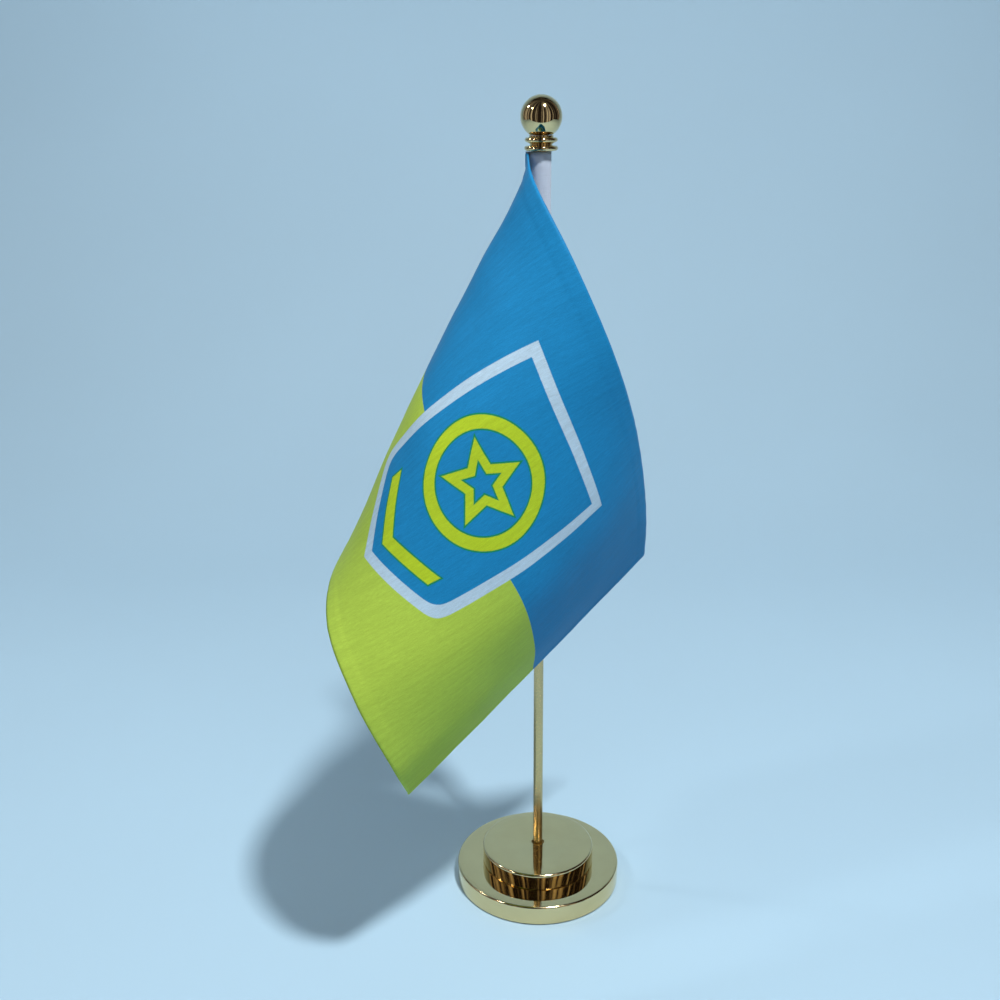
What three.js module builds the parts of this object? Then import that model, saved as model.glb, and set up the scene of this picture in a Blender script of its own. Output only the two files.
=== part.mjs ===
// Desk flag stand: a stepped round base, a slim pole, a screw-on ball finial and a two-layer satin
// flag on a fabric sleeve.
//
// Millimetres, +Z up. The pole's axis is the Z axis and the felt pad stands on z = 0. The flag hangs
// from the -X side of the sleeve, swells towards -Y and comes round to +X in front of the pole.

import * as THREE from "three";

// ---------------------------------------------------------------- driving dimensions

// Base: two stacked shells with a weight in each.
const lowerRadius = 35;
const lowerHeight = 8.6;
const upperRadius = 23.9;
const upperHeight = 7.5;
const shellWall = 0.8;
const edgeRadius = 1.2; // rounding between a shell's wall and its top
const innerEdgeLeast = 0.2; // the least slope inside that rounding
const shoulderWidth = 3.4; // gently sloping band inside the rounded edge
const shoulderDrop = 0.3; // how far that band falls
const padThickness = 1.2;
const rimLift = 0.4; // how far the lower shell's rim stays above the table
const poleHoleEase = 0.7; // the pole hole in the top, over the pole's radius

// Socket and clamp stack under it.
const socketWall = 1.8;
const socketFloor = 1.5; // closed bottom of the socket
const socketLift = 0.5; // the socket's end above the felt
const flangeReach = 2.5; // the socket's top flange, past its body
const flangeThickness = 1.2;
const nutAcrossFlats = 13;
const nutThickness = 2.6;
const springWasherThickness = 1.2;
const springWasherWidth = 2.6;
const springWasherSplit = 14; // degrees left open
const flatWasherThickness = 1.0;
const flatWasherWidth = 3.6;
const recessEase = 1.2; // room around the nut and washers in the weight
const recessWeb = 1.1; // the weight left over the washers

// Pole.
const poleRadius = 2.0;
const poleWall = 0.5;
const poleLength = 304;
const plugHead = 1.6;
const plugRounding = 0.8;
const plugDepth = 8;
const studDepth = 10; // the top stud's length inside the tube
const studReach = 2.4; // and above it

// Finial.
const ballRadius = 7.55;
const ballFootRadius = 4.2;
const collarHeight = 5.4;
const ringRadius = 6.1;
const ringThickness = 2.0;
const ringSpacing = 2.8; // from the lower ring's middle to the upper ring's
const upperRingTrim = 0.15; // the upper ring is this much smaller
const collarWall = 0.8; // collar wall outside the insert
const collarFlare = 0.35; // the neck under the ball is this much wider
const collarWeb = 2.2; // solid end of the collar, under the ball
const insertWall = 1.6;
const rivetRadius = 1.8;
const rivetHeadRadius = 2.9;
const rivetHead = 0.6;
const rivetDepth = 6.4; // length in the ball

// Flag.
const flagFly = 210;
const flagHoist = 140;
const clothThickness = 1.0; // each layer, drawn thicker than satin
const layerGap = 0.3; // between the two satin layers
const sleeveEase = 0.6; // the sleeve's bore over the pole's radius
const sleeveWall = 1.15;
const seamTab = 0.45; // the sleeve's seam allowance, past its round part
const seamTabHalf = 0.6; // half its thickness
const threadRadius = 0.25;
const threadInset = 1; // the stitching stops this short of the sleeve's ends
const stopRingSection = 1.0; // radius of the rubber ring's round section

// Clearances.
const seatGap = 0.1; // between faces that rest on each other
const fitGap = 0.2; // around a piece inside another
const pressGap = 0.05; // around a pressed or glued spigot
const threadGap = 0.15; // around a thread, drawn as plain cylinders
const softGap = 0.3; // around cloth and rubber
const socketGap = 0.2; // around the pole in its socket

// How the cloth hangs, for a flag of drapeFly by drapeHoist. Each row follows one line of the cloth
// from hoist to fly in equal steps. A point is [x, y, drop], where drop is how far the cloth there
// hangs below the height at which the row leaves the sleeve.
const drapeFly = 210;
const drapeHoistX = -5; // where the rows' hoist is
const drapeRows = [
  [[-3, -31, 9], [10, -45, 34], [23, -45, 63], [32, -33, 89], [38, -18, 114], [42, -3, 139],
    [44, 14, 163]],
  [[-34, -10, -1], [-42, -36, 7], [-36, -58, 26], [-22, -66, 51], [-8, -62, 78], [-3, -45, 103],
    [-3, -25, 125]],
  [[-34, 2, -2], [-62, -8, -2], [-76, -34, 5], [-77, -62, 17], [-66, -81, 38], [-54, -79, 66],
    [-50, -60, 89]],
];
const clothStepsFly = 21;
const clothStepsHoist = 12;

// Facets around the round pieces.
const baseFacets = 48;
const smallFacets = 32;
const threadFacets = 8;
const roundingSteps = 3;
const beadSteps = 6; // around half a collar ring
const stopRingSteps = 8; // around the rubber ring
const ballSteps = 15; // from the ball's foot to its crown

// ---------------------------------------------------------------- derived heights and radii

const lowerTop = rimLift + lowerHeight;
const upperBottom = lowerTop + seatGap;
const upperTop = upperBottom + upperHeight;

const socketBore = poleRadius + socketGap;
const socketRadius = socketBore + socketWall;
const flangeRadius = socketRadius + flangeReach;
const socketBottom = padThickness + socketLift;
const socketTop = upperTop - shellWall - pressGap;

const recessTop = lowerTop - shellWall - seatGap - recessWeb;
const flatWasherTop = recessTop - seatGap;
const springWasherTop = flatWasherTop - flatWasherThickness - seatGap;
const nutTop = springWasherTop - springWasherThickness - seatGap;

const poleBottom = socketBottom + socketFloor + seatGap;
const tubeBottom = poleBottom + plugHead;
const tubeTop = poleBottom + poleLength;
const tubeBore = poleRadius - poleWall;
const studRadius = tubeBore - pressGap;

const collarBottom = tubeTop + seatGap;
const collarTop = collarBottom + collarHeight;
const insertBore = studRadius + threadGap;
const insertRadius = insertBore + insertWall;
const collarBore = insertRadius + pressGap;
const neckRadius = collarBore + collarWall;
const webBottom = collarTop - collarWeb;
const rivetHeadTop = webBottom - seatGap;
const rivetBore = rivetRadius + pressGap;
const ballFoot = collarTop + seatGap;
const ballCentre = ballFoot + Math.sqrt(ballRadius ** 2 - ballFootRadius ** 2);

const sleeveBore = poleRadius + sleeveEase;
const sleeveRadius = sleeveBore + sleeveWall;
const sleeveTop = collarBottom - softGap;
const sleeveBottom = sleeveTop - flagHoist;
const tabEnd = sleeveRadius + seamTab;
const panelHalf = layerGap / 2 + clothThickness;
const hoistX = -(tabEnd + softGap + panelHalf);

// ---------------------------------------------------------------- shape helpers

// Turns Y-up geometry upright with exact zeros and ones, so that heights stay as written.
const upright = new THREE.Matrix4().set(1, 0, 0, 0, 0, 0, -1, 0, 0, 1, 0, 0, 0, 0, 0, 1);

// A turned piece from a profile of [radius, height] points, outer side going up.
function turned(profile, facets) {
  const points = profile.map(([r, z]) => new THREE.Vector2(r, z));
  return new THREE.LatheGeometry(points, facets).applyMatrix4(upright);
}

// A turned piece with a through hole: the profile closes on itself.
function turnedRing(profile, facets) {
  return turned([...profile, profile[0]], facets);
}

// Points of an arc in a profile, angles in degrees from the +radius direction.
function arc(centreR, centreZ, radius, from, to, steps = roundingSteps) {
  return Array.from({ length: steps + 1 }, (_, i) => {
    const angle = THREE.MathUtils.degToRad(from + ((to - from) * i) / steps);
    return [centreR + radius * Math.cos(angle), centreZ + radius * Math.sin(angle)];
  });
}

// A flat outline, with an optional hole, raised from z = bottom by height.
function raised(shape, bottom, height, curveSegments) {
  const settings = { depth: height, bevelEnabled: false, curveSegments };
  return new THREE.ExtrudeGeometry(shape, settings).translate(0, 0, bottom);
}

function metal(colour, roughness) {
  return new THREE.MeshStandardMaterial({ color: colour, roughness, metalness: 1 });
}

function soft(colour, roughness) {
  return new THREE.MeshStandardMaterial({ color: colour, roughness, metalness: 0 });
}

function piece(name, geometry, material) {
  const mesh = new THREE.Mesh(geometry, material);
  mesh.name = name;
  return mesh;
}

// ---------------------------------------------------------------- materials

const gold = () => metal("#c9a24a", 0.1);
const poleGold = () => metal("#b8964a", 0.28);
const brass = () => metal("#b08d3c", 0.4);
const steel = () => metal("#8d9196", 0.45);
const iron = () => metal("#3c3d40", 0.75);
const felt = () => soft("#1d3a2c", 1);
const whiteCloth = () => soft("#e4e6ee", 0.8);
const flagCloth = () => soft("#2f86c6", 0.55);
const rubber = () => soft("#202124", 0.8);

// ---------------------------------------------------------------- base

// One tier of the base: a pressed cup, open below, with a rounded edge and a soft shoulder.
function pressedShell(radius, bottom, top, holeRadius) {
  const shoulder = top - shoulderDrop;
  const flat = radius - edgeRadius - shoulderWidth;
  const inner = radius - shellWall;
  const innerEdge = Math.max(edgeRadius - shellWall, innerEdgeLeast);
  return turnedRing([
    [inner, bottom],
    [radius, bottom],
    ...arc(radius - edgeRadius, shoulder - edgeRadius, edgeRadius, 0, 90),
    [flat, top],
    [holeRadius, top],
    [holeRadius, top - shellWall],
    [flat, top - shellWall],
    [inner - innerEdge, shoulder - shellWall],
    [inner, shoulder - shellWall - innerEdge],
  ], baseFacets);
}

// A cast weight that fills a tier, with a centre hole that may widen into a recess below.
function castWeight(shellRadius, bottom, shellTop, holeRadius, recessRadius, recessHeight) {
  const radius = shellRadius - shellWall - fitGap;
  const top = shellTop - shellWall - seatGap;
  const corner = edgeRadius + shoulderDrop;
  const flat = shellRadius - edgeRadius - shoulderWidth;
  const hole = recessRadius > holeRadius
    ? [[holeRadius, top], [holeRadius, recessHeight], [recessRadius, recessHeight],
      [recessRadius, bottom]]
    : [[holeRadius, top], [holeRadius, bottom]];
  return turnedRing([[radius, bottom], [radius, top - corner], [flat, top], ...hole], baseFacets);
}

function makeBase() {
  const nutRadius = nutAcrossFlats / Math.sqrt(3);
  const washerBore = socketRadius + threadGap;
  const recessRadius = Math.max(nutRadius, washerBore + flatWasherWidth) + recessEase;

  const socket = turned([
    [0, socketBottom],
    [socketRadius, socketBottom],
    [socketRadius, socketTop - flangeThickness],
    [flangeRadius, socketTop - flangeThickness],
    [flangeRadius, socketTop],
    [socketBore, socketTop],
    [socketBore, socketBottom + socketFloor],
    [0, socketBottom + socketFloor],
  ], smallFacets);

  const hexagon = new THREE.Shape();
  for (let corner = 0; corner < 6; corner += 1) {
    const angle = (corner * Math.PI) / 3;
    const place = [nutRadius * Math.cos(angle), nutRadius * Math.sin(angle)];
    if (corner === 0) hexagon.moveTo(...place);
    else hexagon.lineTo(...place);
  }
  hexagon.closePath();
  const nutBore = new THREE.Path().absarc(0, 0, washerBore, 0, 2 * Math.PI, true);
  hexagon.holes.push(nutBore);

  const split = THREE.MathUtils.degToRad(springWasherSplit / 2);
  const splitRing = new THREE.Shape();
  splitRing.absarc(0, 0, washerBore + springWasherWidth, split, 2 * Math.PI - split, false);
  splitRing.absarc(0, 0, washerBore, 2 * Math.PI - split, split, true);
  splitRing.closePath();

  const flatWasher = turnedRing([
    [washerBore, flatWasherTop - flatWasherThickness],
    [washerBore + flatWasherWidth, flatWasherTop - flatWasherThickness],
    [washerBore + flatWasherWidth, flatWasherTop],
    [washerBore, flatWasherTop],
  ], smallFacets);

  const padRadius = lowerRadius - shellWall - fitGap;
  const pad = turned([
    [0, 0],
    [padRadius, 0],
    [padRadius, padThickness],
    [0, padThickness],
  ], baseFacets);

  const lowerShell = pressedShell(lowerRadius, rimLift, lowerTop, socketRadius + fitGap);
  const upperShell = pressedShell(upperRadius, upperBottom, upperTop, poleRadius + poleHoleEase);
  const lowerWeight = castWeight(
    lowerRadius, padThickness + seatGap, lowerTop, socketRadius + fitGap, recessRadius, recessTop);
  const upperWeight = castWeight(
    upperRadius, upperBottom, upperTop, flangeRadius + fitGap, 0, 0);
  const nut = raised(hexagon, nutTop - nutThickness, nutThickness, smallFacets / 2);
  const springWasher = raised(
    splitRing, springWasherTop - springWasherThickness, springWasherThickness, smallFacets);

  const base = new THREE.Group();
  base.add(
    piece("base_lower_shell", lowerShell, gold()),
    piece("base_upper_shell", upperShell, gold()),
    piece("lower_weight", lowerWeight, iron()),
    piece("upper_weight", upperWeight, iron()),
    piece("pole_socket", socket, brass()),
    piece("clamp_nut", nut, steel()),
    piece("spring_washer", springWasher, steel()),
    piece("flat_washer", flatWasher, steel()),
    piece("felt_pad", pad, felt()),
  );
  return base;
}

// ---------------------------------------------------------------- pole

function makePole() {
  const tube = turnedRing([
    [tubeBore, tubeBottom],
    [poleRadius, tubeBottom],
    [poleRadius, tubeTop],
    [tubeBore, tubeTop],
  ], smallFacets);

  const spigotTop = tubeBottom - seatGap + plugDepth;
  const plug = turned([
    [0, poleBottom],
    ...arc(poleRadius - plugRounding, poleBottom + plugRounding, plugRounding, -90, 0),
    [poleRadius, tubeBottom - seatGap],
    [studRadius, tubeBottom - seatGap],
    [studRadius, spigotTop],
    [0, spigotTop],
  ], smallFacets);

  const stud = turned([
    [0, tubeTop - studDepth],
    [studRadius, tubeTop - studDepth],
    [studRadius, tubeTop + studReach],
    [0, tubeTop + studReach],
  ], smallFacets);

  // A rubber ring that grips the pole and carries the sleeve.
  const ringMiddle = poleRadius + pressGap + stopRingSection;
  const ringHeight = sleeveBottom - softGap - stopRingSection;
  const ringOutline = arc(ringMiddle, ringHeight, stopRingSection, -180, 180, stopRingSteps);
  const stopRing = turned(ringOutline, smallFacets);

  const pole = new THREE.Group();
  pole.add(
    piece("pole_tube", tube, poleGold()),
    piece("pole_foot_plug", plug, brass()),
    piece("pole_top_stud", stud, steel()),
    piece("sleeve_stop_ring", stopRing, rubber()),
  );
  return pole;
}

// ---------------------------------------------------------------- finial

function makeFinial() {
  const lowerRing = collarBottom + ringThickness / 2;
  const upperRing = lowerRing + ringSpacing;
  const ringRounding = ringThickness / 2;
  const upperRingRadius = ringRadius - upperRingTrim;

  const collar = turnedRing([
    [collarBore, collarBottom],
    ...arc(ringRadius - ringRounding, lowerRing, ringRounding, -90, 90, beadSteps),
    [neckRadius, lowerRing + ringRounding],
    [neckRadius, upperRing - ringRounding],
    ...arc(upperRingRadius - ringRounding, upperRing, ringRounding, -90, 90, beadSteps),
    [neckRadius + collarFlare, upperRing + ringRounding],
    [neckRadius + collarFlare, collarTop],
    [rivetBore, collarTop],
    [rivetBore, webBottom],
    [collarBore, webBottom],
  ], smallFacets);

  const insert = turnedRing([
    [insertBore, collarBottom],
    [insertRadius, collarBottom],
    [insertRadius, rivetHeadTop - rivetHead - seatGap],
    [insertBore, rivetHeadTop - rivetHead - seatGap],
  ], smallFacets);

  const rivet = turned([
    [0, rivetHeadTop - rivetHead],
    [rivetHeadRadius, rivetHeadTop - rivetHead],
    [rivetHeadRadius, rivetHeadTop],
    [rivetRadius, rivetHeadTop],
    [rivetRadius, ballFoot + rivetDepth - fitGap],
    [0, ballFoot + rivetDepth - fitGap],
  ], smallFacets);

  const footAngle = THREE.MathUtils.radToDeg(Math.acos(ballFootRadius / ballRadius));
  const ball = turned([
    [rivetBore, ballFoot],
    ...arc(0, ballCentre, ballRadius, -footAngle, 90, ballSteps).slice(0, -1),
    [0, ballCentre + ballRadius],
    [0, ballFoot + rivetDepth],
    [rivetBore, ballFoot + rivetDepth],
    [rivetBore, ballFoot],
  ], smallFacets);

  const finial = new THREE.Group();
  finial.add(
    piece("finial_collar", collar, gold()),
    piece("finial_insert", insert, brass()),
    piece("finial_rivet", rivet, steel()),
    piece("finial_ball", ball, gold()),
  );
  return finial;
}

// ---------------------------------------------------------------- flag

// The rows of the drape as curves; a curve's parameter runs evenly from hoist to fly.
const rowCurves = drapeRows.map((row, index) => {
  const leaves = sleeveTop - (flagHoist * index) / (drapeRows.length - 1);
  const scale = flagFly / drapeFly;
  const points = row.map(([x, y, drop]) => {
    return new THREE.Vector3(hoistX + (x - drapeHoistX) * scale, y * scale, leaves - drop * scale);
  });
  return new THREE.CatmullRomCurve3([new THREE.Vector3(hoistX, 0, leaves), ...points], false, "catmullrom");
});

// A point of the middle of the cloth: along from hoist (0) to fly (1), down from top (0) to bottom (1).
// The three rows are joined by the parabola through their points.
function clothPoint(along, down) {
  const [top, middle, bottom] = rowCurves.map((curve) => curve.getPoint(along));
  return top.multiplyScalar(2 * (down - 0.5) * (down - 1))
    .add(middle.multiplyScalar(-4 * down * (down - 1)))
    .add(bottom.multiplyScalar(2 * down * (down - 0.5)));
}

// The cloth's outward side, away from the pole, from points a small step apart.
function clothNormal(along, down, step = 0.002) {
  const [west, east] = [Math.max(along - step, 0), Math.min(along + step, 1)];
  const [north, south] = [Math.max(down - step, 0), Math.min(down + step, 1)];
  const flyward = clothPoint(east, down).sub(clothPoint(west, down));
  const downward = clothPoint(along, south).sub(clothPoint(along, north));
  return downward.cross(flyward).normalize();
}

// One satin layer between two offsets from the cloth's middle.
function satinLayer(inner, outer) {
  const sheet = new THREE.BoxGeometry(1, 1, 1, clothStepsFly, clothStepsHoist, 1);
  const place = sheet.attributes.position;
  for (let i = 0; i < place.count; i += 1) {
    const along = place.getX(i) + 0.5;
    const down = 0.5 - place.getY(i);
    const offset = place.getZ(i) > 0 ? outer : inner;
    const point = clothPoint(along, down).addScaledVector(clothNormal(along, down), offset);
    place.setXYZ(i, point.x, point.y, point.z);
  }
  return sheet;
}

function makeFlag() {
  // The sleeve's outline: a round tube with a flat seam tab towards -X, around a round bore.
  const tabAngle = Math.asin(seamTabHalf / sleeveRadius);
  const outline = new THREE.Shape();
  outline.moveTo(-tabEnd, -seamTabHalf);
  outline.absarc(0, 0, sleeveRadius, Math.PI + tabAngle, 3 * Math.PI - tabAngle, false);
  outline.lineTo(-tabEnd, seamTabHalf);
  outline.closePath();
  outline.holes.push(new THREE.Path().absarc(0, 0, sleeveBore, 0, 2 * Math.PI, true));
  const sleeve = raised(outline, sleeveBottom, flagHoist, smallFacets);

  const threadLength = flagHoist - 2 * threadInset;
  const stitching = new THREE.CylinderGeometry(threadRadius, threadRadius, threadLength, threadFacets)
    .applyMatrix4(upright)
    .translate(
      -(sleeveRadius + tabEnd) / 2,
      seamTabHalf + threadRadius + pressGap,
      (sleeveTop + sleeveBottom) / 2,
    );

  const flag = new THREE.Group();
  flag.add(
    piece("flag_sleeve", sleeve, whiteCloth()),
    piece("flag_front_layer", satinLayer(layerGap / 2, panelHalf), flagCloth()),
    piece("flag_back_layer", satinLayer(-panelHalf, -layerGap / 2), flagCloth()),
    piece("hoist_stitching", stitching, whiteCloth()),
  );
  return flag;
}

// ---------------------------------------------------------------- the whole stand

const stand = new THREE.Group();
stand.add(makeBase(), makePole(), makeFinial(), makeFlag());

export default stand;
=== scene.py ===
"""Desk flag stand: a stepped gold base, a slim pole with a ball finial and a two-layer satin flag.

Heights and radii come from the frame; everything is in metres, with the pole's axis as the Z axis.
"""

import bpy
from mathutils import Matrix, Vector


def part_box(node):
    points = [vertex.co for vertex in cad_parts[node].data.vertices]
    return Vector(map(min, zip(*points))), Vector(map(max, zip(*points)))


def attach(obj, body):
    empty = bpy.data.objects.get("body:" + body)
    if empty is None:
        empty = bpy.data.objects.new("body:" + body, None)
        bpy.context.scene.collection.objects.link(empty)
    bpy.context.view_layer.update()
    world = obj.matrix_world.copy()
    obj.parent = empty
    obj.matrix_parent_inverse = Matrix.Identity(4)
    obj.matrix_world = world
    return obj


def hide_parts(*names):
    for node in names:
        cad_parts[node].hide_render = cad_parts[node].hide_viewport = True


bl_info = {
    "name": "Desk Flag Stand",
    "version": (1, 0, 0),
    "blender": (4, 5, 0),
    "location": "3D View > Sidebar > Flag Stand",
    "description": "Builds a desk flag stand around its packed frame",
    "category": "Add Mesh",
}

import math

import bmesh
import bpy
import numpy as np
from bpy.props import FloatProperty, FloatVectorProperty, IntProperty, PointerProperty
from bpy.types import Operator, Panel, PropertyGroup
from mathutils import Matrix, Vector, noise

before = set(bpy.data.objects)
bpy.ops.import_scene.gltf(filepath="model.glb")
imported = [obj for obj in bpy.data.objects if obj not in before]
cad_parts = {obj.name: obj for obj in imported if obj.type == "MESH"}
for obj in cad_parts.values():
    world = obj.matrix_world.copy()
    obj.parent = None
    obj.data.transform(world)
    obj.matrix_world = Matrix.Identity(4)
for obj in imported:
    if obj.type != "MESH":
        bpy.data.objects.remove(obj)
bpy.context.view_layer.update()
MM = 0.001

# The camera looks along Y, tipped down and rolled by these angles in degrees.
CAMERA_PLACE = (-15.6 * MM, -449.7 * MM, 327.2 * MM)
CAMERA_DOWN = 18.74
CAMERA_ROLL = -0.36


def reach(node):
    """A round node's radius, lowest height and highest height."""
    low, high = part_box(node)
    return high.x, low.z, high.z


def paint(red, green, blue):
    """A display colour, 0 to 255 a channel, as the linear colour that a shader takes."""
    shares = (red / 255, green / 255, blue / 255)
    return tuple(s / 12.92 if s < 0.04045 else ((s + 0.055) / 1.055) ** 2.4 for s in shares)


# ---------------------------------------------------------------- what a user may change


class StandSizes(PropertyGroup):
    """Sizes of the base, pole and finial."""

    edge: FloatProperty(
        name="Tier edge", description="Rounding of each tier's top edge",
        default=0.9 * MM, unit="LENGTH", precision=4)
    foot: FloatProperty(
        name="Tier foot", description="Rounding of each tier's bottom edge",
        default=0.45 * MM, unit="LENGTH", precision=5)
    shoulder: FloatProperty(
        name="Shoulder", description="Width of the sloping band inside a tier's edge",
        default=3.4 * MM, unit="LENGTH", precision=4)
    shoulder_drop: FloatProperty(
        name="Shoulder drop", description="How far that band falls",
        default=0.3 * MM, unit="LENGTH", precision=4)
    shell: FloatProperty(
        name="Shell", description="Thickness of a tier's metal",
        default=0.8 * MM, unit="LENGTH", precision=4)
    pole_hole: FloatProperty(
        name="Pole hole", description="Radius of the hole that the pole stands in",
        default=2.7 * MM, unit="LENGTH", precision=4)
    turn_steps: IntProperty(
        name="Turning steps", description="Steps around the large turned pieces",
        default=128, min=24, max=256)
    thread_pitch: FloatProperty(
        name="Thread pitch", description="Pitch of the stud's thread",
        default=0.5 * MM, unit="LENGTH", precision=4)


class FlagSizes(PropertyGroup):
    """Sizes of the cloth parts."""

    fly: FloatProperty(
        name="Fly", description="Length of the flag away from the pole",
        default=210 * MM, unit="LENGTH", precision=4)
    hoist: FloatProperty(
        name="Hoist", description="Height of the flag along the pole",
        default=140 * MM, unit="LENGTH", precision=4)
    satin: FloatProperty(
        name="Satin", description="Thickness of one satin layer",
        default=0.2 * MM, unit="LENGTH", precision=5)
    hem: FloatProperty(
        name="Seam allowance", description="Width of the turned-in cloth along the edges",
        default=5 * MM, unit="LENGTH", precision=4)
    curl: FloatProperty(
        name="Fly curl", description="How far the fly edge curls back",
        default=1.4 * MM, unit="LENGTH", precision=4)
    corner: FloatProperty(
        name="Corner", description="Rounding of the upper fly corner",
        default=5 * MM, unit="LENGTH", precision=4)
    tape: FloatProperty(
        name="Tape", description="Thickness of the sleeve's tape",
        default=0.3 * MM, unit="LENGTH", precision=5)
    stitch_pitch: FloatProperty(
        name="Stitch pitch", description="From one hoist stitch to the next",
        default=2.6 * MM, unit="LENGTH", precision=4)


class StandColours(PropertyGroup):
    """Colours of the finishes."""

    gold: FloatVectorProperty(
        name="Gold", description="Polished gold plate", default=(0.80, 0.62, 0.32),
        subtype="COLOR", min=0, max=1)
    pole: FloatVectorProperty(
        name="Pole", description="Drawn gold tube", default=(0.66, 0.50, 0.24),
        subtype="COLOR", min=0, max=1)
    upper_band: FloatVectorProperty(
        name="Upper band", description="Flag's upper band and shield", default=paint(28, 124, 177),
        subtype="COLOR", min=0, max=1)
    lower_band: FloatVectorProperty(
        name="Lower band", description="Flag's lower band", default=paint(165, 193, 74),
        subtype="COLOR", min=0, max=1)
    emblem: FloatVectorProperty(
        name="Emblem", description="Line work on the shield", default=paint(170, 194, 44),
        subtype="COLOR", min=0, max=1)
    outline: FloatVectorProperty(
        name="Outline", description="Thin line around the emblem", default=paint(26, 128, 84),
        subtype="COLOR", min=0, max=1)
    border: FloatVectorProperty(
        name="Border", description="Shield's border", default=paint(172, 198, 216),
        subtype="COLOR", min=0, max=1)
    floor: FloatVectorProperty(
        name="Floor", description="Floor and backdrop", default=paint(172, 203, 222),
        subtype="COLOR", min=0, max=1)


# ---------------------------------------------------------------- finishes


class Term:
    """A value socket of a finish, so that shader maths is written as sums."""

    def __init__(self, finish, socket):
        self.finish, self.socket = finish, socket

    def maths(self, operation, *others):
        return self.finish.maths(operation, self, *others)

    def __add__(self, other):
        return self.maths("ADD", other)

    def __sub__(self, other):
        return self.maths("SUBTRACT", other)

    def __rsub__(self, other):
        return self.finish.maths("SUBTRACT", other, self)

    def __mul__(self, other):
        return self.maths("MULTIPLY", other)

    def __truediv__(self, other):
        return self.maths("DIVIDE", other)

    def __pow__(self, other):
        return self.maths("POWER", other)

    def __mod__(self, other):
        return self.maths("FLOORED_MODULO", other)

    def __abs__(self):
        return self.maths("ABSOLUTE")

    __radd__, __rmul__ = __add__, __mul__

    def least(self, other):
        return self.maths("MINIMUM", other)

    def most(self, other):
        return self.maths("MAXIMUM", other)

    def clamped(self):
        return self.finish.node("ShaderNodeClamp", {}, {"Value": self})


class Finish:
    """A material, or a world, in the making."""

    def __init__(self, name, kind="materials"):
        self.block = getattr(bpy.data, kind).new(name)
        self.block.use_nodes = True
        self.tree = self.block.node_tree
        self.tree.nodes.clear()

    def node(self, kind, settings, sockets, out=0):
        """Adds a node: its settings first, then the values or links of its sockets."""
        node = self.tree.nodes.new(kind)
        for name, setting in settings.items():
            setattr(node, name, setting)
        for name, value in sockets.items():
            if isinstance(value, Term):
                self.tree.links.new(value.socket, node.inputs[name])
            else:
                node.inputs[name].default_value = value
        return Term(self, node.outputs[out]) if len(node.outputs) else None

    def maths(self, operation, *values):
        return self.node("ShaderNodeMath", {"operation": operation}, dict(enumerate(values)))

    def place(self):
        """X, Y and Z of the piece's own coordinates."""
        whole = self.node("ShaderNodeTexCoord", {}, {}, "Object")
        return [self.node("ShaderNodeSeparateXYZ", {}, {0: whole}, axis) for axis in "XYZ"]

    def weave_place(self, width, length):
        """Metres across and along the cloth, from its UV map."""
        flat = self.node("ShaderNodeUVMap", {"uv_map": "flat"}, {})
        across = self.node("ShaderNodeSeparateXYZ", {}, {0: flat}, "X")
        along = self.node("ShaderNodeSeparateXYZ", {}, {0: flat}, "Y")
        return across * width, along * length

    def vector(self, x, y, z):
        return self.node("ShaderNodeCombineXYZ", {}, {0: x, 1: y, 2: z})

    def mottle(self, vector, scale, detail=3.0, roughness=0.55):
        """Noise from 0 to 1."""
        sockets = {"Vector": vector, "Scale": scale, "Detail": detail, "Roughness": roughness}
        return self.node("ShaderNodeTexNoise", {}, sockets, "Fac")

    def specks(self, vector, scale):
        """Distance from scattered points."""
        return self.node(
            "ShaderNodeTexVoronoi", {}, {"Vector": vector, "Scale": scale}, "Distance")

    def spread(self, value, low, high, to_low, to_high):
        """Value from low to high as to_low to to_high, clamped."""
        sockets = {0: value, 1: low, 2: high, 3: to_low, 4: to_high}
        return self.node("ShaderNodeMapRange", {}, sockets)

    def mix(self, share, first, second):
        """From the first colour to the second."""
        colours = [c if isinstance(c, Term) else (*c, 1.0) for c in (first, second)]
        sockets = {0: share, 6: colours[0], 7: colours[1]}
        return self.node("ShaderNodeMix", {"data_type": "RGBA"}, sockets, 2)

    def shade(self, colour, share):
        """The colour made lighter or darker by a share."""
        return self.node(
            "ShaderNodeVectorMath", {"operation": "SCALE"}, {0: colour, "Scale": share})

    def bump(self, height, strength, distance):
        sockets = {"Height": height, "Strength": strength, "Distance": distance}
        return self.node("ShaderNodeBump", {}, sockets)

    def surface(self, **sockets):
        """Ends the material with its shader. Names are written with _ for a space."""
        values = {name.replace("_", " "): value for name, value in sockets.items()}
        shader = self.node("ShaderNodeBsdfPrincipled", {}, values)
        self.node("ShaderNodeOutputMaterial", {}, {"Surface": shader})
        return self.block


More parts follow.
